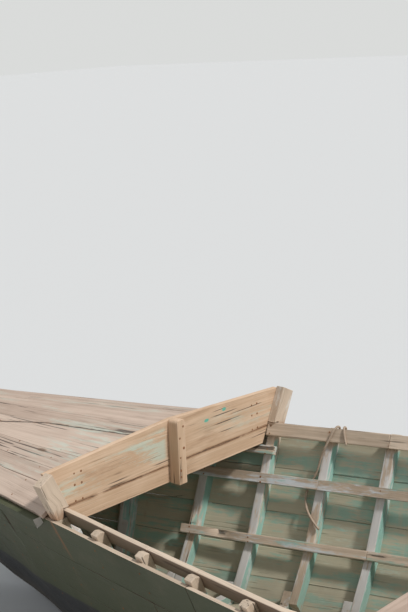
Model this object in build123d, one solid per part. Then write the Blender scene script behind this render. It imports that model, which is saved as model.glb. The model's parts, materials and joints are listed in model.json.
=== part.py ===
from build123d import *
import math
import os

# Wooden open fishing boat with a raised foredeck, millimetres.
# X runs towards the bow, Y to port, Z up; Z = 0 is the ground under the keel plank.
# Places along the boat are measured from the frame that carries the coaming board's posts,
# until the whole is moved to its own middle at the end.

# timber sizes
PLANK = 20.0            # hull planking thickness
SEAM = 1.6              # open seam between neighbouring planks
SEAT = 0.2              # clearance between two pieces that are nailed together
FRAME_SIDED = 42.0      # frame width along the boat
FRAME_DEPTH = 49.0      # frame depth from the planking inwards
FRAME_SPACING = 300.0   # from one frame to the next
HEAD_PROUD = 13.0       # how far the frame heads stand above the sheer plank
HEAD_BEVEL = 16.0       # corner cut off each frame head
LAP = 80.0              # how far a floor timber runs up beside its side timber
RAIL_THICK = 21.0
RAIL_HEIGHT = 67.0
RAIL_RISE = 7.0         # rail top above the sheer, along the side
RAIL_INSET = 2.0        # rail's ends short of the stern deck and of the board
BUTT_GAP = 1.5          # gap where two lengths of one timber meet
STRINGER_THICK = 26.0
KEEL_THICK = 25.0
KEEL_WIDTH = 130.0
KEEL_START = 60.0       # keel plank's aft end forward of the transom
KEEL_INSET = 8.0        # least distance from its edge to the floor's
RUNNER_WIDTH = 60.0
RUNNER_INSET = 60.0     # runner's outer edge inside the floor's edge
APRON_DEPTH = 70.0
APRON_HALF = 30.0
STEM_DEPTH = 62.0
STEM_NOSE_HALF = 22.0
STEM_HEAD_RISE = 125.0  # stem head above the sheer
RUB_THICK = 38.0        # rubbing strip outside the sheer, from the board to the stem
RUB_HEIGHT = 32.0
RUB_START = 80.0
PAINTER_HOLE = 14.0     # radius of the hole through the stem head
PAINTER_DROP = 45.0     # hole centre below the head's top
TRANSOM_THICK = 30.0
TRANSOM_CROWN = 55.0

# foredeck
BOARD_GAP = 2.0         # coaming board's aft face forward of its frame
BOARD_THICK = 27.0
BOARD_RAKE = -0.024     # the board's top leans aft by this share of its height
BOARD_FOOT = 770.5      # height of the board's lower edge
BOARD_END_GAP = 1.0     # board's ends inboard of the stringers' inner faces
BOARD_FLARE = 0.503     # half-breadth gained per mm of height
BOARD_CAMBER = 39.0     # crown of the board's upper edge
BOARD_SHOULDER = 0.43   # share of the half-breadth where the upper edge is half way down
BOARD_SPLIT = 0.32      # share of the board's height that the lower plank takes
DECK_THICK = 20.0
BOARD_ABOVE = 18.0      # crown of the board's upper edge above the deck
DECK_RISE = 195.0       # crown of the deck's underside above the sheer, at the board
BEAM_DEPTH = 55.0
BEAM_SIDED = 40.0
BREAST_THICK = 50.0     # breasthook between the sheer strakes at the bow
BREAST_FOOT = 90.0      # its length, along the keel
APRON_GAP = 30.0        # apron's top below the breasthook
POST_SIDED = 43.0
POST_WIDTH = 80.0
POST_TOP = 1030.0       # height of the side posts' inner top corners
POST_LAP = 8.0          # side posts' inner edges inboard of the board's ends
MIDDLE_WIDTH = 50.0
MIDDLE_SIDED = 58.0
MIDDLE_ROUND = 16.0
POST_PROUD = 4.0        # middle post above and below the board

# cockpit and stern
THWART_WIDTH = 240.0
THWART_THICK = 32.0
STERN_DECK_RISE = 45.0

# Lines of the hull outside the planking. Each row is one section:
# place of the section's foot, its slope (x gained per mm of height),
# then half-breadth and height of the floor edge, the chine and the sheer.
LINES = [
    (-3330.0, -0.26, 400.0, 115.0, 590.0, 372.0, 800.0, 925.0),
    (-2700.0, -0.10, 560.0, 45.0, 730.0, 315.0, 965.0, 858.0),
    (-2050.0, 0.0, 640.0, 25.0, 805.0, 290.0, 1045.0, 830.0),
    (-1500.0, 0.0, 655.0, 25.0, 814.0, 288.0, 1045.0, 824.0),
    (-900.0, 0.0, 557.0, 25.0, 716.0, 288.0, 947.0, 825.0),
    (-300.0, 0.0, 437.0, 25.0, 596.0, 288.0, 828.0, 826.0),
    (0.0, 0.0, 369.0, 26.0, 528.0, 288.0, 760.0, 826.0),
    (300.0, 0.0, 300.0, 30.0, 462.0, 292.0, 705.0, 826.0),
    (550.0, 0.10, 215.0, 50.0, 370.0, 310.0, 620.0, 830.0),
    (850.0, 0.50, 125.0, 80.0, 235.0, 350.0, 440.0, 850.0),
    (1080.0, 0.98, 75.0, 122.0, 125.0, 400.0, 225.0, 895.0),
    (1140.0, 1.25, 52.0, 150.0, 52.0, 430.0, 52.0, 955.0),
]
AFT_BAY = 280.0         # least room between the transom's foot and the first frame
FORE_BAY = 200.0        # and between the last frame and the stem's foot
CANT_COUNT = 2          # bends of the planking between the last frame's bay and the stem

# Side planking from the keel out: name, line that its lower edge follows and share of the way
# from there, the same for its upper edge, and the frames where its lengths meet. Frames are
# counted forward from the one that carries the coaming board's posts.
FLOOR_TO_CHINE, CHINE_TO_SHEER = 1, 2
STRAKES = [
    ("garboard", FLOOR_TO_CHINE, 0.0, 0.5, (-5,)),
    ("bilge_strake", FLOOR_TO_CHINE, 0.5, 1.0, (-7, -1)),
    ("lower_side_strake", CHINE_TO_SHEER, 0.0, 0.29, (-4,)),
    ("upper_side_strake", CHINE_TO_SHEER, 0.29, 0.65, (-6, -2)),
    ("sheer_strake", CHINE_TO_SHEER, 0.65, 1.0, (-3,)),
]
BOTTOM_SEAMS = (-1.0, -0.61, -0.21, 0.21, 0.61, 1.0)

# Long timbers inside the frames: name, share of the side from chine to sheer at its lower edge,
# height, thickness, the frame it starts at (or none, at the transom), the last frame that it
# crosses, and the frames where it is butted.
STRINGERS = [
    ("riser", 0.50, 48.0, STRINGER_THICK, None, 1, (-1,)),
    ("bilge_stringer", 0.0, 43.0, STRINGER_THICK, None, 1, (-2,)),
    ("short_stringer", 0.743, 42.0, STRINGER_THICK, 0, 1, ()),
]
RAIL_BUTTS = (-6, -2)

# Seams of the foredeck from the middle out: share of the half-breadth, share of the rise.
FOREDECK_CURVE = [
    (0.0, 1.0), (0.10, 0.99), (0.31, 0.905), (0.57, 0.68), (0.71, 0.50), (0.83, 0.32), (1.0, 0.0),
]
# The same for the stern deck, which is nearly flat.
STERN_DECK_CURVE = [(0.0, 1.0), (0.10, 0.99), (0.32, 0.90), (0.54, 0.71), (0.76, 0.42), (1.0, 0.0)]
DECK_SEAM = 2.0
THWART_MIDDLES = (-1495.0, -2195.0)

# Worn rope hung over the starboard rail beside a frame, from its short end to its long one:
# it runs straight between these points and bends at each. Its round is cut in eight flats.
ROPE_RADIUS = 5.5
ROPE_BEND = 10.0
ROPE_FLATS = 8
ROPE = [
    (-400.0, -733.0, 804.0), (-367.0, -757.0, 877.1), (-365.0, -790.0, 864.0), (-363.0, -767.0, 812.0),
    (-337.0, -761.0, 812.0), (-335.0, -783.0, 864.0), (-332.0, -750.0, 877.1), (-302.0, -704.0, 788.0),
    (-281.0, -697.0, 743.0), (-262.0, -682.0, 655.0), (-228.0, -662.0, 592.0), (-220.0, -632.0, 540.0),
    (-270.0, -587.0, 475.0), (-340.0, -574.0, 426.0),
]


def fair(column, x):
    """Value of one column of LINES at x, on a curve with no overshoot between the rows."""
    xs = [row[0] for row in LINES]
    ys = [row[column] for row in LINES]
    x = min(max(x, xs[0]), xs[-1])
    slopes = [(ys[i + 1] - ys[i]) / (xs[i + 1] - xs[i]) for i in range(len(xs) - 1)]
    tangents = [slopes[0]]
    for before, after in zip(slopes, slopes[1:]):
        same_way = before * after > 0
        tangents.append(2 * before * after / (before + after) if same_way else 0.0)
    tangents.append(slopes[-1])
    i = max(n for n in range(len(slopes)) if xs[n] <= x)
    span = xs[i + 1] - xs[i]
    t = (x - xs[i]) / span
    return (
        ys[i] * (1 + 2 * t) * (1 - t) ** 2
        + ys[i + 1] * t * t * (3 - 2 * t)
        + span * t * (1 - t) * (tangents[i] * (1 - t) - tangents[i + 1] * t)
    )


def offset_line(points, depth):
    """Moves a line of (y, z) points to its left by depth, mitred at the corners."""
    normals = []
    for (y0, z0), (y1, z1) in zip(points, points[1:]):
        length = math.hypot(y1 - y0, z1 - z0)
        normals.append((-(z1 - z0) / length, (y1 - y0) / length))
    moved = []
    for i, (y, z) in enumerate(points):
        a = normals[max(i - 1, 0)]
        b = normals[min(i, len(normals) - 1)]
        share = depth / (1 + a[0] * b[0] + a[1] * b[1])
        moved.append((y + (a[0] + b[0]) * share, z + (a[1] + b[1]) * share))
    return moved


def between(a, b, share):
    return (a[0] + (b[0] - a[0]) * share, a[1] + (b[1] - a[1]) * share)


class Station:
    """One section through the hull, in a plane that may lean fore and aft."""

    def __init__(self, x):
        x = min(max(x, NODES[0]), NODES[-1])
        after = min(n for n in range(1, len(NODES)) if x <= NODES[n])
        a, b = NODES[after - 1], NODES[after]
        share = (x - a) / (b - a)
        lean, *sizes = [fair(n, a) + (fair(n, b) - fair(n, a)) * share for n in range(1, 8)]
        self.x, self.lean = x, lean
        self.floor, self.chine, self.sheer = zip(sizes[::2], sizes[1::2])

    def skin(self, depth):
        """Keel, floor, chine and sheer points, this deep inside the outer face."""
        outer = [(0.0, self.floor[1]), self.floor, self.chine, self.sheer]
        return offset_line(outer, depth)

    def at(self, depth, part, share):
        line = self.skin(depth)
        return between(line[part], line[part + 1], share)

    def level(self, depth, height):
        """Point of the side at a height, this deep inside its outer face."""
        line = self.skin(depth)
        low, high = line[2], line[3]
        return between(low, high, (height - low[1]) / (high[1] - low[1]))

    def length(self, part):
        line = self.skin(0.0)
        return math.dist(line[part], line[part + 1])

    def deck(self, curve, rise, depth=0.0):
        """The deck's underside from the starboard sheer to the port one, moved up by depth."""
        port = [(self.sheer[0] * y, self.sheer[1] + SEAT + rise * z) for y, z in curve]
        starboard = [(-y, z) for y, z in port[:0:-1]]
        return offset_line(starboard + port, depth)

    def foredeck(self, depth=0.0):
        return self.deck(FOREDECK_CURVE, DECK_RISE * self.sheer[0] / fair(6, 0.0), depth)

    def stern_deck(self, depth=0.0):
        return self.deck(STERN_DECK_CURVE, STERN_DECK_RISE, depth)

    def place(self, point, shift=0.0):
        y, z = point
        return Vector(self.x + self.lean * z + shift, y, z)


AFT_END, FORE_END = LINES[0][0], LINES[-1][0]
HALF_SIDED = FRAME_SIDED / 2
BOARD_AFT = HALF_SIDED + BOARD_GAP
FIRST_FRAME = -int((-AFT_END - AFT_BAY) / FRAME_SPACING)
LAST_FRAME = int((FORE_END - FORE_BAY) / FRAME_SPACING)
FRAMES = range(FIRST_FRAME, LAST_FRAME + 1)
STERN_DECK_FRAME = FIRST_FRAME + 1
# The planks run straight from one of these sections to the next: they bend midway between
# frames, and evenly from the last frame's bay to the stem.
BENDS = [FRAME_SPACING * (n - 0.5) for n in FRAMES]
CANT_STEP = (FORE_END - BENDS[-1]) / (CANT_COUNT + 1)
CANTS = [BENDS[-1] + CANT_STEP * (n + 1) for n in range(CANT_COUNT)]
NODES = [AFT_END] + BENDS + CANTS + [FORE_END]


def frame_x(n):
    return FRAME_SPACING * n


def stations(start, end):
    """Sections of a long timber from start to end, one at each bend of the planking."""
    inner = [x for x in NODES if start + FRAME_SIDED / 2 < x < end - FRAME_SIDED / 2]
    return [Station(x) for x in [start] + inner + [end]]


def timber(sections):
    """A solid through closed outlines, each given as its points."""
    return Solid.make_loft([Wire.make_polygon(points, close=True) for points in sections], True)


def long_timber(start, end, outline):
    return timber([[s.place(p) for p in outline(s)] for s in stations(start, end)])


def lengths(start, end, butts):
    """Splits a run at the given frames, with a gap at each butt."""
    ends = [start] + [frame_x(n) for n in butts] + [end]
    for i, (a, b) in enumerate(zip(ends, ends[1:])):
        yield a + (BUTT_GAP / 2 if i else 0), b - (BUTT_GAP / 2 if i < len(ends) - 2 else 0)


def both_sides(name, solids):
    PIECES[name + "_port"] = solids
    PIECES[name + "_starboard"] = [mirror(s, about=Plane.XZ) for s in solids]


PIECES = {}


def strakes():
    for name, part, low, high, butts in STRAKES:
        def outline(s):
            gap = SEAM / 2 / s.length(part)
            a = low + (gap if (part, low) != (FLOOR_TO_CHINE, 0.0) else 0.0)
            b = high - (gap if (part, high) != (CHINE_TO_SHEER, 1.0) else 0.0)
            top_in = s.at(PLANK, part, b) if b < 1 else s.level(PLANK, s.sheer[1])
            return [s.at(0, part, a), s.at(0, part, b), top_in, s.at(PLANK, part, a)]
        both_sides(name, [long_timber(a, b, outline) for a, b in lengths(AFT_END, FORE_END, butts)])


def bottom():
    planks = []
    for left, right in zip(BOTTOM_SEAMS, BOTTOM_SEAMS[1:]):
        def outline(s):
            low, high = s.skin(0.0)[1], s.skin(PLANK)[1]
            inset_left = SEAM / 2 if left > -1 else 0.3
            inset_right = SEAM / 2 if right < 1 else 0.3
            return [
                (low[0] * left + inset_left, low[1]),
                (low[0] * right - inset_right, low[1]),
                (high[0] * right - inset_right, high[1]),
                (high[0] * left + inset_left, high[1]),
            ]
        planks.append(long_timber(AFT_END, FORE_END, outline))
    PIECES["bottom_planks"] = planks

    def keel(s):
        half = min(KEEL_WIDTH / 2, s.floor[0] - KEEL_INSET)
        top = s.floor[1] - SEAT
        foot = s.floor[1] - KEEL_THICK
        return [(-half, foot), (half, foot), (half, top), (-half, top)]
    PIECES["keel_plank"] = [long_timber(AFT_END + KEEL_START, FORE_END, keel)]

    def runner(s):
        outer, top = s.floor[0] - RUNNER_INSET, s.floor[1] - SEAT
        foot = s.floor[1] - KEEL_THICK
        return [(outer - RUNNER_WIDTH, foot), (outer, foot), (outer, top), (outer - RUNNER_WIDTH, top)]
    both_sides("bilge_runner", [long_timber(frame_x(STERN_DECK_FRAME), frame_x(0), runner)])


def frame_section(s, level_head):
    """Outline of a side timber from the bilge up to its head."""
    outer, inner = s.skin(PLANK + SEAT), s.skin(PLANK + FRAME_DEPTH)
    foot = [between(inner[1], inner[2], 0.04), between(outer[1], outer[2], 0.04), outer[2]]
    if level_head:
        under = s.sheer[1] - SEAT
        return foot + [s.level(PLANK + SEAT, under), s.level(PLANK + FRAME_DEPTH, under), inner[2]]
    head = 1 + HEAD_PROUD / s.length(CHINE_TO_SHEER)
    bevel = HEAD_BEVEL / s.length(CHINE_TO_SHEER)
    head_out, head_in = between(outer[2], outer[3], head), between(inner[2], inner[3], head)
    side_in = between(inner[2], inner[3], head - bevel)
    return foot + [head_out, between(head_out, head_in, 0.55), side_in, inner[2]]


def frames():
    for number, n in enumerate(FRAMES, 1):
        x = frame_x(n)
        level_head = n <= STERN_DECK_FRAME or n >= 0
        sections = [Station(x - HALF_SIDED), Station(x + HALF_SIDED)]
        side = timber([[s.place(p) for p in frame_section(s, level_head)] for s in sections])

        def floor_outline(s):
            outer, inner = s.skin(PLANK + SEAT), s.skin(PLANK + FRAME_DEPTH)
            run = min(LAP / s.length(FLOOR_TO_CHINE), 0.9)
            port = [outer[1], between(outer[1], outer[2], run), between(inner[1], inner[2], run), inner[1]]
            starboard = [(-y, z) for y, z in port]
            return port + starboard[::-1]

        lap = [Station(x + HALF_SIDED), Station(x + HALF_SIDED + FRAME_SIDED)]
        floor = timber([[s.place(p) for p in floor_outline(s)] for s in lap])
        PIECES["frame_%02d" % number] = [side, mirror(side, about=Plane.XZ), floor]


def rub_strips():
    def outline(s):
        low = 1 - RUB_HEIGHT / s.length(CHINE_TO_SHEER)
        foot_in, foot_out = (s.at(-depth, CHINE_TO_SHEER, low) for depth in (SEAT, RUB_THICK))
        return [foot_in, foot_out, s.level(-RUB_THICK, s.sheer[1]), s.level(-SEAT, s.sheer[1])]
    both_sides("rub_strip", [long_timber(RUB_START, FORE_END, outline)])


def inner_timbers():
    inner = PLANK + FRAME_DEPTH + SEAT

    def rail(s):
        high = 1 + RAIL_RISE / s.length(CHINE_TO_SHEER)
        low = high - RAIL_HEIGHT / s.length(CHINE_TO_SHEER)
        corners = [(inner, low), (inner, high), (inner + RAIL_THICK, high), (inner + RAIL_THICK, low)]
        return [s.at(depth, CHINE_TO_SHEER, share) for depth, share in corners]

    rail_start = frame_x(STERN_DECK_FRAME) + HALF_SIDED + RAIL_INSET
    rail_end = HALF_SIDED - RAIL_INSET
    runs = lengths(rail_start, rail_end, RAIL_BUTTS)
    both_sides("inner_rail", [long_timber(a, b, rail) for a, b in runs])
    for name, share, height, thick, first, last, butts in STRINGERS:
        def outline(s):
            top = share + height / s.length(CHINE_TO_SHEER)
            corners = [(inner, share), (inner, top), (inner + thick, top), (inner + thick, share)]
            return [s.at(depth, CHINE_TO_SHEER, where) for depth, where in corners]
        start = AFT_END if first is None else frame_x(first) - FRAME_SIDED
        end = frame_x(last) + FRAME_SIDED
        both_sides(name, [long_timber(a, b, outline) for a, b in lengths(start, end, butts)])


def stem():
    plane = Station(FORE_END)
    foot, top = plane.floor[1] - KEEL_THICK, plane.sheer[1] + STEM_HEAD_RISE
    wide = plane.sheer[0]

    def slab(z, half, nose, depth):
        back, front = plane.place((0, z), SEAT).X, plane.place((0, z), depth).X
        corners = [(back, -half), (front, -nose), (front, nose), (back, half)]
        return [Vector(x, y, z) for x, y in corners]

    body = timber([
        slab(foot, wide, STEM_NOSE_HALF, STEM_DEPTH),
        slab(plane.sheer[1], wide, STEM_NOSE_HALF, STEM_DEPTH),
        slab(top, wide * 0.7, STEM_NOSE_HALF * 0.8, STEM_DEPTH * 1.1),
    ])
    hole_at = plane.place((0, top - PAINTER_DROP), STEM_DEPTH / 2)
    hole = Cylinder(PAINTER_HOLE, 4 * wide, rotation=(90, 0, 0)).moved(Location(hole_at))
    PIECES["stem"] = [body - hole]

    def apron_slab(z, depth):
        back, front = plane.place((0, z), -depth).X, plane.place((0, z)).X
        corners = [(back, -APRON_HALF), (front, -APRON_HALF), (front, APRON_HALF), (back, APRON_HALF)]
        return [Vector(x, y, z) for x, y in corners]

    aft = Station(FORE_END - BREAST_FOOT)
    hook_foot = aft.sheer[1] - SEAT - BREAST_THICK
    low, high = plane.floor[1] + PLANK + SEAT, hook_foot - APRON_GAP
    PIECES["apron"] = [timber([apron_slab(low, APRON_DEPTH), apron_slab(high, APRON_DEPTH)])]

    corners = [s.place(s.level(PLANK + 4 * SEAT, hook_foot)) for s in (aft, plane)]
    port = [(p.X, p.Y) for p in corners]
    plan = make_face(Polyline(*port, *[(x, -y) for x, y in port[::-1]], close=True))
    PIECES["breasthook"] = [extrude(plan, BREAST_THICK).moved(Location((0, 0, hook_foot)))]


def deck_planks(start, end, line):
    """Planks side by side under one curve, which line gives for a station and a depth."""
    count = len(line(start)) - 1
    seams = [n for n in range(count + 1) if n != count // 2]
    planks = []
    for first, last in zip(seams, seams[1:]):
        def outline(s):
            low, high = line(s)[first:last + 1], line(s, DECK_THICK)[first:last + 1]
            for edge in (low, high):
                left, right = math.dist(edge[0], edge[1]), math.dist(edge[-2], edge[-1])
                if first:
                    edge[0] = between(edge[0], edge[1], DECK_SEAM / 2 / left)
                if last < count:
                    edge[-1] = between(edge[-1], edge[-2], DECK_SEAM / 2 / right)
            return low + high[::-1]
        sections = [start] + stations(start.x, end.x)[1:-1] + [end]
        planks.append(timber([[s.place(p) for p in outline(s)] for s in sections]))
    return planks


def beam(x, sided, line):
    """A deck beam from x, as wide as sided, under the inner stretch of a deck's curve."""
    sections = []
    for s in (Station(x), Station(x + sided)):
        top = offset_line(line(s), -SEAT)[1:-1]
        foot = top[0][1] - 0.8 * BEAM_DEPTH
        low = [(0.94 * y, z - BEAM_DEPTH) for y, z in top[1:-1]]
        outline = [(top[0][0], foot)] + top + [(top[-1][0], foot)] + low[::-1]
        sections.append([s.place(p) for p in outline])
    return timber(sections)


def decks():
    aft = Station(BOARD_AFT)
    aft.x = board_x(0.0, BOARD_THICK * math.hypot(1, BOARD_RAKE)) + SEAT
    aft.lean = BOARD_RAKE
    PIECES["foredeck_planks"] = deck_planks(aft, Station(FORE_END), Station.foredeck)
    for n in range(1, LAST_FRAME + 1):
        PIECES["deck_beam_%d" % n] = [beam(frame_x(n) + HALF_SIDED, BEAM_SIDED, Station.foredeck)]
    edge = Station(frame_x(STERN_DECK_FRAME) + HALF_SIDED)
    PIECES["stern_deck_planks"] = deck_planks(Station(AFT_END), edge, Station.stern_deck)
    for number, n in enumerate((FIRST_FRAME, STERN_DECK_FRAME), 1):
        x = frame_x(n) - HALF_SIDED - BEAM_SIDED
        PIECES["stern_beam_%d" % number] = [beam(x, BEAM_SIDED, Station.stern_deck)]


def board_x(height, forward=0.0):
    """Place of the coaming board's aft face at a height, or of a face further forward."""
    return BOARD_AFT + BOARD_RAKE * (height - BOARD_FOOT) + forward


def coaming():
    s = Station(0.0)
    foot_half = s.level(PLANK + FRAME_DEPTH + STRINGER_THICK + BOARD_END_GAP, BOARD_FOOT)[0]
    crown = s.foredeck(DECK_THICK)[len(FOREDECK_CURVE) - 1][1] + BOARD_ABOVE
    end_top = crown - BOARD_CAMBER
    split = BOARD_FOOT + BOARD_SPLIT * (end_top - BOARD_FOOT)

    def half_at(z):
        return foot_half + BOARD_FLARE * (z - BOARD_FOOT)

    def plank(low, high, top):
        corners = [(-half_at(low), low), (half_at(low), low), (half_at(high), high)]
        if top > high:
            shoulder = half_at(high) * BOARD_SHOULDER
            corners += [(shoulder, (high + top) / 2), (0, top), (-shoulder, (high + top) / 2)]
        corners.append((-half_at(high), high))
        return extrude(Plane.YZ * make_face(Polyline(*corners, close=True)), BOARD_THICK)

    upright = math.degrees(math.atan(BOARD_RAKE))

    def raked(solid):
        return solid.moved(Location((BOARD_AFT, 0, BOARD_FOOT), (0, upright, 0)))

    def down(solid):
        return solid.moved(Location((0, 0, -BOARD_FOOT)))

    PIECES["coaming_board_lower"] = [raked(down(plank(BOARD_FOOT, split - SEAT, 0.0)))]
    PIECES["coaming_board_upper"] = [raked(down(plank(split, end_top, crown)))]
    tall = crown - BOARD_FOOT + 2 * POST_PROUD
    middle = Box(MIDDLE_SIDED, MIDDLE_WIDTH, tall, align=(Align.MAX, Align.CENTER, Align.MIN))
    middle = fillet(middle.edges().filter_by(Axis.X).group_by(Axis.Z)[-1], MIDDLE_ROUND)
    PIECES["board_post_middle"] = [raked(middle.moved(Location((-SEAT, 0, -POST_PROUD))))]

    # Each side post stands on its frame's level head, outboard of the rail, and is notched over it.
    foot = s.sheer[1] + POST_SIDED * abs(BOARD_RAKE)
    widest = Station(-HALF_SIDED)
    step = widest.at(PLANK + FRAME_DEPTH, CHINE_TO_SHEER, 1 + RAIL_RISE / s.length(CHINE_TO_SHEER))
    over = s.skin(PLANK + FRAME_DEPTH + RAIL_THICK)[3][1] + RAIL_RISE + 1
    lean = math.atan(BOARD_FLARE)
    inner_top = (half_at(POST_TOP) - POST_LAP, POST_TOP)
    outer_top = (inner_top[0] + POST_WIDTH * math.cos(lean), POST_TOP - POST_WIDTH * math.sin(lean))
    outer_foot = outer_top[0] - BOARD_FLARE * (outer_top[1] - foot)
    outline = [
        (step[0] + 1, foot),
        (outer_foot, foot),
        outer_top,
        inner_top,
        (half_at(over) - POST_LAP, over),
        (step[0] + 1, over),
    ]
    post = extrude(Plane.YZ * make_face(Polyline(*outline, close=True)), -POST_SIDED)
    both_sides("board_post", [raked(down(post.moved(Location((-SEAT, 0, 0)))))])


def thwarts():
    share, height = STRINGERS[0][1:3]
    depth = PLANK + FRAME_DEPTH + SEAT + STRINGER_THICK
    for number, place in enumerate(THWART_MIDDLES, 1):
        ends = [Station(place - THWART_WIDTH / 2), Station(place + THWART_WIDTH / 2)]
        riser_top = [s.at(depth, CHINE_TO_SHEER, share + height / s.length(CHINE_TO_SHEER)) for s in ends]
        seat = SEAT + max(z for y, z in riser_top)
        port = [(s.x, s.level(PLANK + FRAME_DEPTH, seat)[0]) for s in ends]
        plan = make_face(Polyline(*port, *[(x, -y) for x, y in port[::-1]], close=True))
        PIECES["thwart_%d" % number] = [extrude(plan, THWART_THICK).moved(Location((0, 0, seat)))]


def rope():
    route = FilletPolyline(*ROPE, radius=ROPE_BEND)
    section = Plane(origin=route @ 0, z_dir=route % 0) * RegularPolygon(ROPE_RADIUS, ROPE_FLATS)
    PIECES["rope"] = sweep(section, path=route).solids()


def transom():
    s = Station(AFT_END)
    stretch = math.hypot(1, s.lean)
    plane = Plane(origin=(AFT_END - SEAT, 0, 0), x_dir=(0, 1, 0), z_dir=(1, 0, -s.lean))
    port = [s.floor, s.chine, s.sheer]
    right = [(y, z * stretch) for y, z in port]
    left = [(-y, z) for y, z in right][::-1]
    edges = [Line(a, b) for a, b in zip(right, right[1:])]
    edges.append(ThreePointArc(right[-1], (0, right[-1][1] + TRANSOM_CROWN), left[0]))
    edges += [Line(a, b) for a, b in zip(left, left[1:] + right[:1])]
    PIECES["transom"] = [extrude(plane * make_face(edges), -TRANSOM_THICK)]


strakes()
bottom()
frames()
rub_strips()
inner_timbers()
stem()
decks()
coaming()
thwarts()
rope()
transom()

box = Compound([s for solids in PIECES.values() for s in solids]).bounding_box()
middle = Location((-box.center().X, 0, -box.min.Z))
os.makedirs("parts", exist_ok=True)
for name, solids in PIECES.items():
    export_step(Compound([s.moved(middle) for s in solids]), os.path.join("parts", name + ".step"))
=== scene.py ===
import json
import math

import bmesh
import bpy
import numpy as np
from mathutils import Matrix, Vector, noise
from mathutils.bvhtree import BVHTree


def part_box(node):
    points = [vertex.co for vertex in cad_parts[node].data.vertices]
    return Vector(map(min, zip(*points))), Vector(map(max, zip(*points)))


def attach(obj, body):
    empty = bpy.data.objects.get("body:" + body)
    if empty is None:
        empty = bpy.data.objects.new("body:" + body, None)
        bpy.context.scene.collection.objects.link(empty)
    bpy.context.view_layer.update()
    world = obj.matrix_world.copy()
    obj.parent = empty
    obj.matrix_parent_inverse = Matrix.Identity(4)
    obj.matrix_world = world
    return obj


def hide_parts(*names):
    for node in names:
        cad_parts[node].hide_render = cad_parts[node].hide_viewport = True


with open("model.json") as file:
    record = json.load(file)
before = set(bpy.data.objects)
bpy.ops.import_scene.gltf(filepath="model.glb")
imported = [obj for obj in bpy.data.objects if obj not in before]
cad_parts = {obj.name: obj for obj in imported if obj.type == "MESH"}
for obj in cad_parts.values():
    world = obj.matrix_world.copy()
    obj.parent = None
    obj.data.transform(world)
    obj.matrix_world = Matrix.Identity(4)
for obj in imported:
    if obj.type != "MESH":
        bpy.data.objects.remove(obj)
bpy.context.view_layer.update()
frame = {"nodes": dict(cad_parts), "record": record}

# Lengths are in metres, in the boat's own frame: X forward, Y to port, Z up from the floor.
# X of the frame that carries the coaming board's posts, which places are measured from.
BOARD_X = 0.5277
FRAME_SPACING = 0.300

# Camera, measured from the same frame
CAMERA_AT = Vector((-3.9726, 4.1862, 2.7473))
CAMERA_RIGHT = Vector((-0.75116, -0.65761, -0.0579))
CAMERA_UP = Vector((0.0900, -0.18881, 0.97786))
CAMERA_AHEAD = Vector((0.65401, -0.72933, -0.20104))
FOCAL_PIXELS = 1350.8
PHOTO_LONG_SIDE = 612.0
SENSOR = 36.0
NEAR_CLIP = 0.05
FAR_CLIP = 200.0

# Light, floor and backdrop
SUN_FROM = Vector((-0.72, -0.12, 0.85))
SUN_STRENGTH = 2.7
SUN_WIDTH = math.radians(6)
SKY = (0.80, 0.86, 0.93, 1)
SKY_STRENGTH = 0.62
FLOOR = (0.62, 0.61, 0.59, 1)
FLOOR_ROUGHNESS = 0.95
FLOOR_HALF = 80.0
BACKDROP = (0.70, 0.71, 0.70, 1)

# Worn edges of sawn wood: what is rounded off, the bands beside the edges, the lengths that a
# timber is cut into, and the corners that count as sharp or as flat
EDGE_WEAR = 0.0022
EDGE_ROUND = 0.55
EDGE_BAND = 0.005
FRAME_EDGE_BAND = 0.010
WEAR_STEP = 0.065
CHEW_SCALE = 28.0
SHARP = math.radians(22)
FLAT = math.radians(1.0)
WELD = 1e-5

# Grain: how far a timber's pattern may be shifted, and the order of the bend that it follows
GRAIN_SHIFT = 30
BEND_ORDER = 3

# Caulking in the seams of the planking, and the faces of planks that are taken for seams
SEAM = 0.0016
CAULK_DEPTH = 0.005
CAULK_SHARE = 0.55
SEAM_FACE = (0.014, 0.025)
SEAM_FACE_LENGTH = 0.040
SEAM_LEVEL = 0.8

# Nails: their heads, where they are driven, and how far they stray from there
NAIL_RADIUS = 0.0048
BOARD_NAIL_RADIUS = 0.0065
NAIL_HEAD = 0.0014
NAIL_SIDES = 10
NAIL_TAPER = 0.6
NAIL_SPREAD = (0.8, 1.1)
NAIL_SEED = 7
NAIL_STRAY = 0.009
NAILED_FRAMES = [BOARD_X + FRAME_SPACING * n for n in range(-11, 4)]
HEIGHTS_TRIED = np.arange(0.05, 1.0, 0.004)
FEWEST_HEIGHTS = 6
PAIR_SHARES = (0.27, 0.73)
PAIR_STRAY = 0.05
POST_NAILS_UP = (0.80, 0.83, 0.89, 0.93, 0.98, 1.03)
POST_NAILS_STRAY = 0.012
BOARD_NAILS_ACROSS = (-0.60, -0.56, 0.56, 0.60)
BOARD_NAILS_UP = (0.86, 0.93, 0.98)
DECK_NAILS_ACROSS = np.arange(-0.9, 0.95, 0.075)
DECK_NAILS_STRAY = 0.012
DECK_NAILS_AHEAD = 0.03

# Rope over the starboard rail, from its short end to its long one
ROPE_THICK = 0.011
ROPE = [
    (0.1277, -0.7330, 0.8040), (0.1607, -0.7570, 0.8790), (0.1627, -0.7940, 0.8690),
    (0.1647, -0.7690, 0.8060), (0.1907, -0.7630, 0.8060), (0.1927, -0.7870, 0.8690),
    (0.1957, -0.7500, 0.8790), (0.2257, -0.7040, 0.7880), (0.2467, -0.6970, 0.7430),
    (0.2657, -0.6820, 0.6550), (0.2997, -0.6620, 0.5920), (0.3077, -0.6320, 0.5400),
    (0.2577, -0.5870, 0.4750), (0.1877, -0.5740, 0.4260),
]

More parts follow.
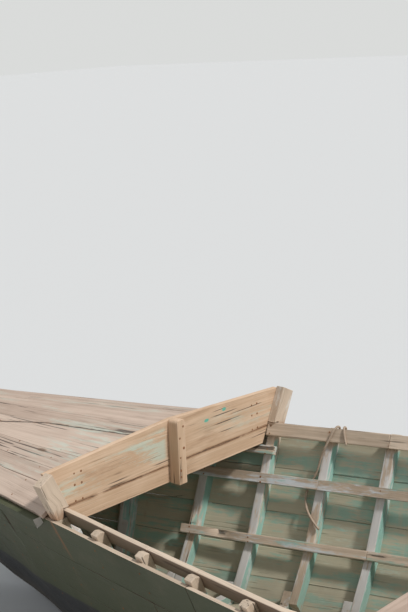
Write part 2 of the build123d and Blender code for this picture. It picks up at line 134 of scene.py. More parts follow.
# Foredeck: the wide crack's line from aft forward, and the pale stain behind the coaming board.
# A pair gives where a mark starts and is full, four numbers also where it fades and ends.
CRACK_ACROSS = 0.183
CRACK_SLOPE = 0.008
CRACK_ALONG = (0.50, 0.56, 1.5, 1.9)
CRACK_BEND = 0.05
CRACK_BEND_ALONG = (1.1, 1.6)
STAIN_ALONG = (0.50, 0.60, 0.85, 1.15)
STAIN_ACROSS = (0.05, 0.18, 0.40, 0.55)

# Coaming board: where old paint is left, where its top is bare, and its middle post's side.
# Each dab of bright paint has a place across and up.
PORT_PAINT = (0.03, 0.06)
STARBOARD_PAINT = (-0.5, -0.1)
PAINT_FROM = (0.87, 0.90)
BARE_TOP_FROM = (1.02, 1.05)
BARE_TOP_SINKS = 0.11
MIDDLE_POST_SIDE = (0.026, 0.030)
DABS = [(-0.235, 0.990), (-0.360, 1.013)]

# Planking: the tar's height and how far it sinks toward the bow, the run of rust under the
# port post, the torn end of the rubbing strip, the transom's face and the top of the side
TAR_HEIGHT = 0.375
TAR_SINKS = 0.11
TAR_SINKS_OVER = 1.2
RUST_RUN_X = 0.38
RUST_RUN_RAKE = 0.19
RUST_RUN_ACROSS = (0.5, 0.6)
RUST_RUN_UP = (0.62, 0.72)
TORN_END_ALONG = (0.55, 0.58)
TORN_END_UP = (0.76, 0.78)
TRANSOM = (-2.76, -2.70)
SIDE_TOP = (0.6, 0.7)

# Heights of the rust on the side posts, of the frames' bare heads, and of dirt inside and outside
POST_RUST = (0.865, 0.90)
FRAME_HEADS = (0.770, 0.790)
DIRT_INSIDE = (0.16, 0.42)
DIRT_OUTSIDE = (0.08, 0.30)

# Colours
DECK_LIGHT = (0.60, 0.46, 0.36, 1)
DECK_DARK = (0.40, 0.29, 0.22, 1)
BARE_LIGHT = (0.60, 0.47, 0.35, 1)
BARE_DARK = (0.41, 0.31, 0.22, 1)
BOARD_LIGHT = (0.72, 0.52, 0.36, 1)
BOARD_DARK = (0.52, 0.34, 0.21, 1)
RAIL_LIGHT = (0.72, 0.57, 0.43, 1)
# Painted shade: the darkest colour of timber out of the light
PAINTED_SHADE_WOOD = (0.20, 0.15, 0.10, 1)
PALE_GREY = (0.63, 0.62, 0.60, 1)
GRAIN_BROWN = (0.16, 0.095, 0.055, 1)
WEATHERED_BROWN = (0.26, 0.13, 0.06, 1)
# Brown of stains at the deck's edges, and of painted shade on the rails' outboard faces
STAIN_AND_SHADE_BROWN = (0.13, 0.08, 0.055, 1)
SEAM_BROWN = (0.085, 0.053, 0.0328, 1)
CRACK = (0.035, 0.025, 0.018, 1)
TURQUOISE = (0.20, 0.44, 0.36, 1)
PALE_TURQUOISE = (0.50, 0.62, 0.52, 1)
MINT = (0.08, 0.42, 0.31, 1)
SKY_BLUE = (0.60, 0.68, 0.73, 1)
PALE_BLUE = (0.74, 0.80, 0.82, 1)
OLD_WHITE = (0.66, 0.61, 0.54, 1)
KHAKI = (0.46, 0.45, 0.32, 1)
OLIVE = (0.052, 0.058, 0.024, 1)
TAR = (0.016, 0.016, 0.017, 1)
STEM_GREEN = (0.07, 0.17, 0.10, 1)
RUST = (0.30, 0.11, 0.03, 1)
EARTH = (0.16, 0.12, 0.08, 1)

# Sockets of the Mix node for colours
MIX_SHARE, MIX_FIRST, MIX_SECOND, MIX_COLOUR = 0, 6, 7, 2

# Relief of wood
BUMP_STRENGTH = 0.9
BUMP_DEPTH = 0.0012


class Signal:
    """A node's output that sums and products can be written with."""

    def __init__(self, nodes, socket):
        self.nodes = nodes
        self.socket = socket

    def maths(self, operation, *others):
        """A Math node on this number and the others."""
        return self.nodes.node("ShaderNodeMath", {"operation": operation}, [self, *others])

    def __add__(self, other):
        return self.maths("ADD", other)

    def __radd__(self, other):
        return self.maths("ADD", other)

    def __sub__(self, other):
        return self.maths("SUBTRACT", other)

    def __rsub__(self, other):
        return self.nodes.node("ShaderNodeMath", {"operation": "SUBTRACT"}, [other, self])

    def __mul__(self, other):
        return self.maths("MULTIPLY", other)

    def __rmul__(self, other):
        return self.maths("MULTIPLY", other)

    def __truediv__(self, other):
        return self.maths("DIVIDE", other)

    def __rtruediv__(self, other):
        return self.nodes.node("ShaderNodeMath", {"operation": "DIVIDE"}, [other, self])

    def above(self, low, high):
        """0 below low, 1 above high, and smooth between."""
        ends = [self, low, high, 0.0, 1.0]
        return self.nodes.node("ShaderNodeMapRange", {"interpolation_type": "SMOOTHSTEP"}, ends)

    def below(self, low, high):
        """1 below low, 0 above high, and smooth between."""
        return 1 - self.above(low, high)

    def within(self, start, full, fade, end):
        """1 from full to fade, and smooth to 0 at start and at end."""
        return self.above(start, full) * self.below(fade, end)


class Nodes:
    """A node tree, and the one way that nodes are added to it."""

    def __init__(self, tree):
        self.tree = tree

    def feed(self, node, values):
        """Links or sets a node's sockets, given in order or by name."""
        feeds = values.items() if isinstance(values, dict) else enumerate(values)
        for key, value in feeds:
            if isinstance(value, Signal):
                self.tree.links.new(value.socket, node.inputs[key])
            else:
                node.inputs[key].default_value = value

    def node(self, kind, settings, values, output=0):
        """Adds a node of this kind, with its settings made first and its sockets fed."""
        made = self.tree.nodes.new(kind)
        for name, setting in settings.items():
            setattr(made, name, setting)
        self.feed(made, values)
        return Signal(self, made.outputs[output])


class Paint(Nodes):
    """One material, and the coordinates that its patterns follow."""

    def __init__(self, name):
        self.material = bpy.data.materials.new(name)
        self.material.use_nodes = True
        super().__init__(self.material.node_tree)
        self.grain = self.attribute("grain")
        self.tone = self.attribute("tone", "Fac")
        self.edge = self.attribute("edge", "Fac")
        self.place = self.node("ShaderNodeTexCoord", {}, [], "Object")
        self.at = self.parts(self.place)
        self.facing = self.parts(self.node("ShaderNodeNewGeometry", {}, [], "Normal"))

    def attribute(self, name, output="Vector"):
        return self.node("ShaderNodeAttribute", {"attribute_name": name}, [], output)

    def parts(self, vector):
        """The three numbers of a vector."""
        return [self.node("ShaderNodeSeparateXYZ", {}, [vector], n) for n in range(3)]

    def stretched(self, vector, along, across):
        """Coordinates scaled by one number along their first axis and by another across it."""
        scales = (along, across, across)
        return self.node("ShaderNodeVectorMath", {"operation": "MULTIPLY"}, [vector, scales])

    def noise(self, vector, scale, detail=3.0, rough=0.55):
        values = {"Vector": vector, "Scale": scale, "Detail": detail, "Roughness": rough}
        return self.node("ShaderNodeTexNoise", {}, values, "Fac")

    def streaks(self, along, across, detail=3.0, rough=0.55, scale=1.0):
        """Noise with one scale along the grain and another across it."""
        return self.noise(self.stretched(self.grain, along, across), scale, detail, rough)

    def blend(self, first, second, share):
        """A colour between two others."""
        values = {MIX_SHARE: share, MIX_FIRST: first, MIX_SECOND: second}
        return self.node("ShaderNodeMix", {"data_type": "RGBA"}, values, MIX_COLOUR)

    def finish(self, colour, roughness, height, depth=BUMP_DEPTH):
        """Feeds the shader: colour, roughness and a bump of this depth."""
        relief = {"Strength": BUMP_STRENGTH, "Distance": depth, "Height": height}
        bump = self.node("ShaderNodeBump", {}, relief)
        shader = self.tree.nodes["Principled BSDF"]
        self.feed(shader, {"Base Color": colour, "Roughness": roughness, "Normal": bump})
        return self.material


def bare_wood(paint, light, dark, cracks):
    """Weathered wood: its colour and its relief."""
    fine = paint.streaks(2.0, 110.0, 4.0, 0.65)
    broad = paint.streaks(1.1, 24.0)
    mottle = paint.noise(paint.grain, 6.0)
    shade = fine * 0.9 + broad * 0.8 + mottle * 0.5 + paint.tone * 0.4 - 0.85
    colour = paint.blend(dark, light, shade.above(0.0, 0.9))
    streak = paint.streaks(3.0, 190.0, 3.0, 0.6)
    colour = paint.blend(colour, GRAIN_BROWN, streak.above(0.57, 0.75) * 0.45)
    split = paint.streaks(1.6, 85.0, 2.0, 0.35)
    patchy = paint.noise(paint.grain, 4.1, 1.0)
    crack = split.above(0.67 - 0.05 * cracks, 0.70 - 0.05 * cracks) * patchy.above(0.44, 0.56)
    colour = paint.blend(colour, CRACK, crack * 0.8)
    spots = {"Vector": paint.stretched(paint.grain, 2.3, 6.5), "Scale": 1.0}
    knots = paint.node("ShaderNodeTexVoronoi", {}, spots, "Distance")
    colour = paint.blend(colour, GRAIN_BROWN, knots.below(0.04, 0.10) * 0.75)
    rubbed = paint.edge * paint.noise(paint.grain, 35.0).above(0.4, 0.6)
    colour = paint.blend(colour, light, rubbed * 0.5)
    relief = fine * 0.5 + broad * 0.2 - crack * 1.3 - streak.above(0.55, 0.75) * 0.4
    return colour, relief


def paint_left(paint, amount, scale):
    """Where a worn coat of paint is left; amount is 0 for none, 1 for all."""
    patches = paint.streaks(0.5, 1.6, 4.0, 0.62, scale)
    flakes = paint.streaks(3.0, 60.0, 4.0, 0.7)
    crumbs = paint.streaks(30.0, 110.0, 3.0, 0.6)
    whole = patches * 0.62 + flakes * 0.34 + crumbs * 0.16 - paint.edge * 0.10
    low = 0.775 - amount * 0.42
    return whole.above(low, low + 0.09)


def worn_paint(paint, colour, layer, amount, scale, strength=0.8):
    """Lays what is left of a coat of paint over a colour."""
    return paint.blend(colour, layer, paint_left(paint, amount, scale) * strength)


def nail_rust(paint, colour, strength):
    """Rust runs from the nails at each frame."""
    along = (paint.at[0] - BOARD_X) / FRAME_SPACING
    off = (along - along.maths("ROUND")).maths("ABSOLUTE") * FRAME_SPACING
    ragged = paint.noise(paint.stretched(paint.place, 45.0, 30.0), 1.0)
    streak = (off + ragged * 0.03).below(0.016, 0.034) * ragged.above(0.48, 0.66)
    return paint.blend(colour, RUST, streak * strength)


def settled_dirt(paint, colour):
    """Earth and damp darken the wood near the bottom of the boat."""
    cloud = paint.noise(paint.place, 9.0, 4.0)
    return paint.blend(colour, EARTH, (paint.at[2] + cloud * 0.2).below(*DIRT_INSIDE) * 0.4)


def behind_board_stain(paint, colour):
    """Pale turquoise on the foredeck, behind the coaming board to port."""
    blotches = paint.streaks(2.0, 14.0, 4.0, 0.7, 3.0).above(0.45, 0.62)
    here = paint.at[0].within(*STAIN_ALONG) * paint.at[1].within(*STAIN_ACROSS)
    return paint.blend(colour, PALE_TURQUOISE, here * blotches * 0.45)


def wide_crack(paint, colour):
    """The crack that runs forward along the foredeck: the colour with it, and its gape."""
    along, across = paint.at[0], paint.at[1]
    ragged = paint.noise(paint.stretched(paint.place, 14.0, 40.0), 1.0, 3.0, 0.6)
    line = CRACK_ACROSS + along * CRACK_SLOPE + along.above(*CRACK_BEND_ALONG) * CRACK_BEND
    off = (across - line + (ragged - 0.5) * 0.014).maths("ABSOLUTE")
    here = along.within(*CRACK_ALONG)
    browned = off.below(0.006, 0.016) * here * ragged.above(0.4, 0.6)
    gape = off.below(0.002, 0.006) * here
    colour = paint.blend(colour, WEATHERED_BROWN, browned * 0.6)
    return paint.blend(colour, CRACK, gape * 0.9), gape


def deck_finish():
    """Decks and thwarts: pale wood, dark at its edges, with scraps of pale turquoise."""
    paint = Paint("weathered_deck")
    colour, relief = bare_wood(paint, DECK_LIGHT, DECK_DARK, 0.5)
    colour = paint.blend(colour, STAIN_AND_SHADE_BROWN, paint.edge * 0.8)
    left = paint_left(paint, 0.44, 3.0)
    colour = paint.blend(colour, PALE_TURQUOISE, left * 0.36)
    colour, gape = wide_crack(paint, behind_board_stain(paint, colour))
    return paint.finish(colour, 0.85 - left * 0.1, relief - gape * 2.0)


def dabs_of_paint(paint, colour):
    """Dabs of bright paint on the coaming board."""
    ripple = paint.noise(paint.place, 70.0)
    for across, up in DABS:
        wide, high = (paint.at[1] - across) * 0.6, paint.at[2] - up
        off = (wide * wide + high * high).maths("SQRT") + ripple * 0.006
        colour = paint.blend(colour, MINT, off.below(0.009, 0.014) * 0.9)
    return colour


def weathered_joint(paint, colour):
    """The dark broken line where the coaming board's two planks meet."""
    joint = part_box("coaming_board_upper")[0][2]
    ragged = paint.streaks(6.0, 40.0, 4.0, 0.7)
    off = (paint.at[2] - joint + (ragged - 0.5) * 0.02).maths("ABSOLUTE")
    broken = paint.noise(paint.stretched(paint.place, 1.0, 7.0), 1.0).above(0.28, 0.45)
    here = broken * paint.at[1].maths("ABSOLUTE").above(*MIDDLE_POST_SIDE)
    colour = paint.blend(colour, WEATHERED_BROWN, off.below(0.003, 0.010) * here * 0.8)
    return paint.blend(colour, CRACK, off.below(0.0008, 0.0022) * here * 0.7)


def board_finish():
    """The coaming board: warm wood, pale turquoise to port, and a weathered joint."""
    paint = Paint("faded_coaming_board")
    across, up = paint.at[1], paint.at[2]
    colour, relief = bare_wood(paint, BOARD_LIGHT, BOARD_DARK, 0.1)
    stain = paint.streaks(2.2, 14.0, 4.0, 0.7)
    colour = paint.blend(colour, WEATHERED_BROWN, stain.above(0.52, 0.72) * 0.4)
    left = paint_left(paint, 0.57, 3.0)
    painted = paint.blend(colour, PALE_TURQUOISE, left * 0.62)
    sides = across.above(*PORT_PAINT) + across.below(*STARBOARD_PAINT) * 0.5
    below_top = (up + across.maths("ABSOLUTE") * BARE_TOP_SINKS).below(*BARE_TOP_FROM)
    colour = paint.blend(colour, painted, sides * up.above(*PAINT_FROM) * below_top)
    colour = weathered_joint(paint, dabs_of_paint(paint, colour))
    return paint.finish(colour, 0.82 - left * 0.1, relief)


def post_finish():
    """Side posts: pale wood with old white paint, and rust where they stand on the rail."""
    paint = Paint("worn_side_post")
    colour, relief = bare_wood(paint, BARE_LIGHT, BARE_DARK, 0.8)
    colour = worn_paint(paint, colour, OLD_WHITE, 0.42, 7.0)
    foot = (paint.at[2] + paint.noise(paint.grain, 30.0) * 0.05).below(*POST_RUST)
    return paint.finish(paint.blend(colour, RUST, foot * 0.5), 0.8, relief)


def inside_of_planking(paint, wood, turquoise):
    """Khaki-stained wood with what is left of turquoise, under runs of water, rust and dirt."""
    stained = paint.blend(wood, KHAKI, 0.68)
    colour = worn_paint(paint, stained, TURQUOISE, turquoise, 6.0, 0.62)
    colour = worn_paint(paint, colour, PALE_TURQUOISE, 0.38, 9.0, 0.45)
    runs = paint.streaks(26.0, 3.0, 4.0, 0.7).above(0.50, 0.75)
    colour = paint.blend(colour, stained, runs * 0.6)
    return settled_dirt(paint, nail_rust(paint, colour, 0.25))


def outside_of_planking(paint, wood):
    """Olive paint above tar, scuffed and dirty, with a run of rust under the port post."""
    along, across, up = paint.at
    cloud = paint.noise(paint.place, 3.0, 4.0)
    sinking = (along - BOARD_X).above(0.0, TAR_SINKS_OVER) * TAR_SINKS
    over_tar = (up + sinking + (cloud - 0.5) * 0.03 - TAR_HEIGHT).above(-0.008, 0.008)
    colour = paint.blend(TAR, OLIVE, over_tar)
    dusty = paint.noise(paint.grain, 7.0, 5.0, 0.7).above(0.5, 0.75)
    colour = paint.blend(colour, EARTH, dusty * 0.22)
    scuffed = paint.streaks(1.2, 9.0, 5.0, 0.7, 3.0).above(0.68, 0.80)
    colour = paint.blend(colour, wood, scuffed * 0.3)
    colour = paint.blend(colour, EARTH, (up + cloud * 0.2).below(*DIRT_OUTSIDE) * 0.5)
    colour = nail_rust(paint, colour, 0.12)
    off = (along - RUST_RUN_X - up * RUST_RUN_RAKE + cloud * 0.02).maths("ABSOLUTE")
    run = off.below(0.004, 0.014) * across.above(*RUST_RUN_ACROSS) * up.above(*RUST_RUN_UP)
    return paint.blend(colour, RUST, run * 0.45)


def planking_finish(name, turquoise, bare_top):
    """Planking painted outside, with what is left of turquoise inside."""
    paint = Paint(name)
    along, across, up = paint.at
    wood, relief = bare_wood(paint, BARE_LIGHT, BARE_DARK, 0.3)
    outside = outside_of_planking(paint, wood)
    outboard = paint.facing[1] * across.maths("SIGN") * 0.9 - paint.facing[2] * 0.6
    outboard = outboard - paint.facing[0] * along.below(*TRANSOM)
    facing_out = outboard.above(0.20, 0.38)
    colour = paint.blend(SEAM_BROWN, outside, facing_out)
    inside = inside_of_planking(paint, wood, turquoise)
    colour = paint.blend(colour, inside, outboard.below(-0.38, -0.20))
    torn = paint.facing[0].below(-0.8, -0.6) * along.above(*TORN_END_ALONG) * up.above(*TORN_END_UP)
    colour = paint.blend(colour, OLD_WHITE, torn * 0.8)
    top = paint.facing[2].above(0.80, 0.92) * up.above(*SIDE_TOP)
    colour = paint.blend(colour, wood if bare_top else outside, top)
    colour = paint.blend(colour, wood, paint.edge * 0.25)
    return paint.finish(colour, 0.78 - facing_out * 0.2, relief)


def frame_finish():
    """Frames: worn grey on the inner face, pale blue at the corners, turquoise on the sides."""
    paint = Paint("worn_turquoise_frame")
    wood, relief = bare_wood(paint, BARE_LIGHT, BARE_DARK, 0.1)
    inner = worn_paint(paint, wood, PALE_GREY, 0.66, 6.0)
    sides = worn_paint(paint, inner, TURQUOISE, 0.72, 8.0)
    sides = worn_paint(paint, sides, PALE_TURQUOISE, 0.35, 9.0)
    colour = paint.blend(inner, sides, paint.facing[0].maths("ABSOLUTE").above(0.55, 0.75))
    corners = paint.edge.above(0.15, 0.6) * paint.noise(paint.grain, 14.0).above(0.22, 0.45)
    colour = paint.blend(colour, PALE_BLUE, corners * 0.9)
    colour = paint.blend(colour, wood, paint.at[2].above(*FRAME_HEADS))
    return paint.finish(settled_dirt(paint, colour), 0.75, relief)


def rail_finish():
    """Inner rails: bare inside, with painted shade on the side toward the planking."""
    paint = Paint("bare_inner_rail")
    colour, relief = bare_wood(paint, RAIL_LIGHT, BARE_DARK, 0.4)
    # Painted shade: the outboard face, toward the planking, is darkened brown.
    outboard = (paint.facing[1] * paint.at[1].maths("SIGN")).above(0.55, 0.75)
    colour = paint.blend(colour, STAIN_AND_SHADE_BROWN, outboard * 0.8)
    return paint.finish(nail_rust(paint, colour, 0.3), 0.82, relief)


def stringer_finish():
    """Risers and stringers: bare wood with scraps of grey, blue and turquoise paint."""
    paint = Paint("worn_stringer")
    colour, relief = bare_wood(paint, RAIL_LIGHT, BARE_DARK, 0.3)
    colour = worn_paint(paint, colour, PALE_GREY, 0.52, 6.0, 0.55)
    colour = worn_paint(paint, colour, SKY_BLUE, 0.47, 5.0, 0.6)
    colour = worn_paint(paint, colour, TURQUOISE, 0.44, 7.0, 0.6)
    return paint.finish(settled_dirt(paint, nail_rust(paint, colour, 0.3)), 0.8, relief)


def hidden_timber_finish():
    """Deck beams and other timber out of the light: darker wood, as painted shade."""
    paint = Paint("painted_shade_timber")
    # Painted shade: the timber takes a darker range of wood colours because it lies out of the
    # light.
    colour, relief = bare_wood(paint, BARE_DARK, PAINTED_SHADE_WOOD, 0.4)
    return paint.finish(colour, 0.85, relief)


def stem_finish():
    paint = Paint("green_stem_paint")
    colour, relief = bare_wood(paint, BARE_LIGHT, BARE_DARK, 0.5)
    return paint.finish(worn_paint(paint, colour, STEM_GREEN, 0.80, 5.0), 0.7, relief)


def rope_finish():
    """Rope with its strands as slanting bands."""
    paint = Paint("frayed_rope")
    lay = {"Vector": paint.place, "Scale": 95.0, "Distortion": 1.5}
    strands = paint.node("ShaderNodeTexWave", {"bands_direction": "DIAGONAL"}, lay, "Fac")
    shade = strands * 0.5 + paint.noise(paint.place, 60.0) * 0.6 + 0.1
    return paint.finish(paint.blend(GRAIN_BROWN, BARE_LIGHT, shade), 0.9, strands, 0.0015)


def iron_finish():
    paint = Paint("rusted_nails")
    colour = paint.blend(RUST, GRAIN_BROWN, paint.noise(paint.place, 120.0))
    return paint.finish(colour, 0.85, paint.noise(paint.place, 300.0), 0.0005)


# Finish of each material slot, and each CAD node's slot
FINISHES = {
    "grey_deck": deck_finish(),
    "faded_board": board_finish(),
    "white_post": post_finish(),
    "tarred_plank": planking_finish("tarred_planking", 0.52, False),
    "painted_plank": planking_finish("painted_planking", 0.56, True),
    "turquoise_frame": frame_finish(),
    "bare_rail": rail_finish(),
    "worn_stringer": stringer_finish(),
    "bare_timber": hidden_timber_finish(),
    "green_stem": stem_finish(),
    "old_rope": rope_finish(),
    "rusty_iron": iron_finish(),
}
SLOTS = {part["node"]: part["material_slot"] for part in frame["record"]["subparts"]}


def add_piece(name, mesh, slot, node=None):
    """Puts a piece in the scene with its slot's finish, in place of a CAD node if one is named."""
    piece = bpy.data.objects.new(name, mesh)
    bpy.context.scene.collection.objects.link(piece)
    mesh.materials.clear()
    mesh.materials.append(FINISHES[slot])
    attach(piece, "root")
    if node:
        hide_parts(node)
    return piece


def timbers_of(mesh):
    """The separate timbers of a node's mesh, each as a mesh of its own to work on."""
    whole = bmesh.new()
    whole.from_mesh(mesh)
    bmesh.ops.remove_doubles(whole, verts=whole.verts, dist=WELD)
    whole.verts.index_update()
    found = set()
    for first in whole.verts:
        if first.index in found:
            continue
        timber, todo = {first.index}, [first]
        while todo:
            reached = todo.pop()
            near = {edge.other_vert(reached) for edge in reached.link_edges}
            todo += [vertex for vertex in near if vertex.index not in timber]
            timber.update(vertex.index for vertex in near)
        found |= timber
        one = whole.copy()
        bmesh.ops.delete(one, geom=[v for v in one.verts if v.index not in timber], context="VERTS")
        bmesh.ops.dissolve_limit(one, angle_limit=FLAT, verts=one.verts, edges=one.edges)
        yield one
    whole.free()


def places(work):
    """The places of a mesh's vertices, as rows."""
    return np.array([vertex.co[:] for vertex in work.verts])


def wear_edges(work, band):
    """Cuts a timber into short lengths, rounds and chews its edges, and gives their vertices."""
    surface = BVHTree.FromBMesh(work)
    points = places(work)
    middle = points.mean(axis=0)
    along = np.linalg.svd(points - middle, full_matrices=False)[2][0]
    reach = (points - middle) @ along
    for place in np.arange(reach.min() + WEAR_STEP, reach.max() - WEAR_STEP / 2, WEAR_STEP):
        geometry = work.verts[:] + work.edges[:] + work.faces[:]
        bmesh.ops.bisect_plane(work, geom=geometry, plane_co=middle + along * place, plane_no=along)
    sharp = [e for e in work.edges if len(e.link_faces) == 2 and e.calc_face_angle(0) > SHARP]
    made = bmesh.ops.bevel(
        work, geom=sharp, offset=EDGE_WEAR, offset_type="OFFSET", segments=2,
        profile=EDGE_ROUND, affect="EDGES", clamp_overlap=True,
    )
    worn = {vertex for face in made["faces"] for vertex in face.verts}
    flats = [face for face in work.faces if face not in set(made["faces"])]
    bmesh.ops.inset_region(
        work, faces=flats, thickness=band, use_boundary=True, use_even_offset=True,
    )
    # A bevel or an inset can throw a vertex off a thin face, so it goes back to the surface.
    for vertex in work.verts:
        nearest, _, _, far = surface.find_nearest(vertex.co)
        if far > EDGE_WEAR:
            vertex.co = nearest
    for vertex in worn:
        chewed = max(noise.noise(vertex.co * CHEW_SCALE), 0.0) * EDGE_WEAR
        vertex.co -= vertex.normal * chewed
    for vertex in work.verts:
        vertex.co = np.clip(vertex.co, points.min(axis=0), points.max(axis=0))
    return worn


def mark_grain(work, worn, chance):
    """Stores what the wood patterns read: the grain's coordinates, the tone and the worn edges."""
    points = places(work)
    middle = points.mean(axis=0)
    turned = (points - middle) @ np.linalg.svd(points - middle, full_matrices=False)[2].T
    for n in (1, 2):
        bend = np.polyfit(turned[:, 0], turned[:, n], BEND_ORDER)
        turned[:, n] -= np.polyval(bend, turned[:, 0])
    turned += chance.uniform(-GRAIN_SHIFT, GRAIN_SHIFT, 3)
    grain = work.verts.layers.float_vector.new("grain")
    tone = work.verts.layers.float.new("tone")
    edge = work.verts.layers.float.new("edge")
    one_tone = chance.uniform(0, 1)
    for vertex, place in zip(work.verts, turned):
        vertex[grain] = Vector(place)
        vertex[tone] = one_tone
        vertex[edge] = 1.0 if vertex in worn else 0.0


def joined(works, name):
    """One mesh of several."""
    mesh = bpy.data.meshes.new(name)
    whole = bmesh.new()
    for work in works:
        work.to_mesh(mesh)
        whole.from_mesh(mesh)
        work.free()
    whole.to_mesh(mesh)
    whole.free()
    return mesh


def worn_timbers():
    """Stands a worn, grained copy of each wooden node in its place."""
    for seed, name in enumerate(sorted(frame["nodes"])):
        if name == "rope":
            continue
        chance = np.random.default_rng(seed)
        works = list(timbers_of(frame["nodes"][name].data))
        band = FRAME_EDGE_BAND if name.startswith("frame_") else EDGE_BAND
        for work in works:
            mark_grain(work, wear_edges(work, band), chance)
        add_piece(name + "_timber", joined(works, name + "_timber"), SLOTS[name], name)


def is_seam(face):
    """Whether a face of the planking is the narrow edge of a plank, below the sheer."""
    sides = [edge.calc_length() for edge in face.edges]
    narrow = SEAM_FACE[0] < min(sides) < SEAM_FACE[1]
    return narrow and max(sides) > SEAM_FACE_LENGTH and face.normal.z < SEAM_LEVEL


def caulking():
    """Fills the seams between the planks, a little below the surface of the wood."""
    sides = [n for n in sorted(frame["nodes"]) if n.startswith("garboard_") or "_strake_" in n]
    works = []
    for name in sides + ["bottom_planks"]:
        for work in timbers_of(frame["nodes"][name].data):
            broad = [face for face in work.faces if not is_seam(face)]
            bmesh.ops.delete(work, geom=broad, context="FACES")
            rim = bmesh.ops.inset_region(
                work, faces=work.faces[:], thickness=CAULK_DEPTH, use_boundary=True,
            )
            bmesh.ops.delete(work, geom=rim["faces"], context="FACES")
            work.normal_update()
            # Each strip's face moves out along the normals that its vertices had before.
            outward = {vertex: vertex.normal * SEAM * CAULK_SHARE for vertex in work.verts}
            grown = bmesh.ops.extrude_face_region(work, geom=work.faces[:])["geom"]
            work.normal_update()
            for vertex in [g for g in grown if isinstance(g, bmesh.types.BMVert)]:
                foot = min(outward, key=lambda other: (other.co - vertex.co).length_squared)
                vertex.co += outward[foot]
            mark_grain(work, set(), np.random.default_rng(0))
            works.append(work)
    add_piece("seam_caulking", joined(works, "seam_caulking"), "tarred_plank")


class Nails:
    """Nail heads driven into the surface of some nodes, gathered in one piece."""

    def __init__(self, name, radius=NAIL_RADIUS):
        self.name = name
        self.radius = radius
        self.work = bmesh.new()
        self.chance = np.random.default_rng(NAIL_SEED)

    def drive(self, surface, start, aim):
        """One nail where a line from start meets the surface, if it does."""
        hit, normal, _, _ = surface.ray_cast(Vector(start), Vector(aim))
        if hit is None:
            return
        head = Matrix.Translation(hit) @ normal.to_track_quat("Z", "Y").to_matrix().to_4x4()
        radius = self.radius * self.chance.uniform(*NAIL_SPREAD)
        bmesh.ops.create_cone(
            self.work, cap_ends=True, segments=NAIL_SIDES, radius1=radius,
            radius2=radius * NAIL_TAPER, depth=NAIL_HEAD, matrix=head,
        )

    def pair(self, surface, x, side, inward):
        """Two nails across the band of a timber at x, seen from inboard or from outboard."""
        start, aim = (2.0 * side, -side) if inward else (0.0, side)
        beam = Vector((0, aim, 0))
        band = [z for z in HEIGHTS_TRIED if surface.ray_cast(Vector((x, start, z)), beam)[0]]
        if len(band) > FEWEST_HEIGHTS:
            for share in PAIR_SHARES:
                share += self.chance.uniform(-PAIR_STRAY, PAIR_STRAY)
                z = band[0] + (band[-1] - band[0]) * share
                nail_x = x + self.chance.uniform(-NAIL_STRAY, NAIL_STRAY)
                self.drive(surface, (nail_x, start, z), (0, aim, 0))

    def done(self):
        """Puts the nails in the scene as one piece."""
        mesh = bpy.data.meshes.new(self.name)
        self.work.to_mesh(mesh)
        self.work.free()
        add_piece(self.name, mesh, "rusty_iron")


def surface_of(*names):
    """The surface of some CAD nodes, for lines to meet."""
    work = bmesh.new()
    for name in names:
        work.from_mesh(frame["nodes"][name].data)
    surface = BVHTree.FromBMesh(work)
    work.free()
    return surface


def nails():
    """Nails through the long timbers at each frame, in the coaming board and in the decks."""
    inside, outside = Nails("nails_in_stringers_and_rails"), Nails("nails_in_planking")
    for side, word in ((1, "port"), (-1, "starboard")):
        for name in ("riser", "bilge_stringer", "short_stringer", "inner_rail"):
            surface = surface_of(name + "_" + word)
            for x in NAILED_FRAMES:
                inside.pair(surface, x, side, False)
        for name in ("lower_side_strake", "upper_side_strake", "sheer_strake"):
            surface = surface_of(name + "_" + word)
            for x in NAILED_FRAMES:
                outside.pair(surface, x, side, True)
    inside.done()
    outside.done()
    board = Nails("nails_in_coaming_board", BOARD_NAIL_RADIUS)
    posts = surface_of("board_post_middle", "coaming_board_lower", "coaming_board_upper")
    for z in POST_NAILS_UP:
        y = POST_NAILS_STRAY * board.chance.choice([-1, 1])
        board.drive(posts, (0, y, z), (1, 0, 0))
    for y in BOARD_NAILS_ACROSS:
        for z in BOARD_NAILS_UP:
            board.drive(posts, (0, y, z), (1, 0, 0))
    board.done()
    deck = Nails("nails_in_decks")
    planks = surface_of("foredeck_planks", "stern_deck_planks")
    for x in NAILED_FRAMES:
        for y in DECK_NAILS_ACROSS:
            nail_y = y + deck.chance.uniform(-DECK_NAILS_STRAY, DECK_NAILS_STRAY)
            deck.drive(planks, (x + DECK_NAILS_AHEAD, nail_y, 2), (0, 0, -1))
    deck.done()


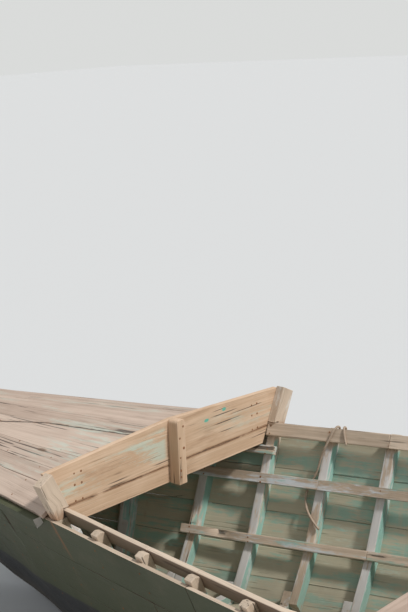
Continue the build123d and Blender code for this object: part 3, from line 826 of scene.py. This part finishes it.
def rope():
    """The worn rope hung over the starboard rail."""
    curve = bpy.data.curves.new("rope_over_rail", "CURVE")
    curve.dimensions = "3D"
    curve.bevel_depth = ROPE_THICK / 2
    curve.bevel_resolution = 4
    curve.use_fill_caps = True
    curve.resolution_u = 10
    line = curve.splines.new("NURBS")
    line.points.add(len(ROPE) - 1)
    for point, place in zip(line.points, ROPE):
        point.co = (*place, 1)
    line.order_u = 3
    line.use_endpoint_u = True
    piece = add_piece("rope_over_rail", curve, "old_rope", "rope")
    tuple(ROPE[0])


def camera():
    """A camera that stands and looks as the photograph's did."""
    data = bpy.data.cameras.new("camera")
    data.sensor_width = SENSOR
    data.lens = FOCAL_PIXELS * SENSOR / PHOTO_LONG_SIDE
    data.clip_start = NEAR_CLIP
    data.clip_end = FAR_CLIP
    eye = bpy.data.objects.new("camera", data)
    turn = Matrix((CAMERA_RIGHT, CAMERA_UP, -CAMERA_AHEAD)).transposed()
    eye.matrix_world = Matrix.Translation(CAMERA_AT + Vector((BOARD_X, 0, 0))) @ turn.to_4x4()
    bpy.context.scene.collection.objects.link(eye)
    bpy.context.scene.camera = eye


def floor():
    """A plain pale floor."""
    mesh = bpy.data.meshes.new("floor")
    corners = [(-1, -1), (1, -1), (1, 1), (-1, 1)]
    mesh.from_pydata([(x * FLOOR_HALF, y * FLOOR_HALF, 0) for x, y in corners], [], [(0, 1, 2, 3)])
    ground = bpy.data.objects.new("floor", mesh)
    bpy.context.scene.collection.objects.link(ground)
    material = bpy.data.materials.new("pale_floor")
    material.use_nodes = True
    nodes = Nodes(material.node_tree)
    shader = material.node_tree.nodes["Principled BSDF"]
    nodes.feed(shader, {"Base Color": FLOOR, "Roughness": FLOOR_ROUGHNESS})
    mesh.materials.append(material)


def lamps():
    """An even sky, a plain backdrop that lights nothing, and a wide soft sun."""
    world = bpy.data.worlds.new("sky")
    bpy.context.scene.world = world
    world.use_nodes = True
    sky = Nodes(world.node_tree)
    light = world.node_tree.nodes["Background"]
    sky.feed(light, {"Color": SKY, "Strength": SKY_STRENGTH})
    backdrop = sky.node("ShaderNodeBackground", {}, {"Color": BACKDROP})
    rays = ("Is Camera Ray", "Is Glossy Ray", "Is Transmission Ray")
    eye, gloss, glass = [sky.node("ShaderNodeLightPath", {}, [], ray) for ray in rays]
    seen = eye.maths("MAXIMUM", gloss).maths("MAXIMUM", glass)
    either = sky.node("ShaderNodeMixShader", {}, [seen, Signal(sky, light.outputs[0]), backdrop])
    sky.feed(world.node_tree.nodes["World Output"], {"Surface": either})
    data = bpy.data.lights.new("sun", "SUN")
    data.energy = SUN_STRENGTH
    data.angle = SUN_WIDTH
    sun = bpy.data.objects.new("sun", data)
    sun.matrix_world = SUN_FROM.to_track_quat("Z", "Y").to_matrix().to_4x4()
    bpy.context.scene.collection.objects.link(sun)


worn_timbers()
caulking()
nails()
rope()
camera()
floor()
lamps()
bpy.context.scene.view_settings.view_transform = "Standard"
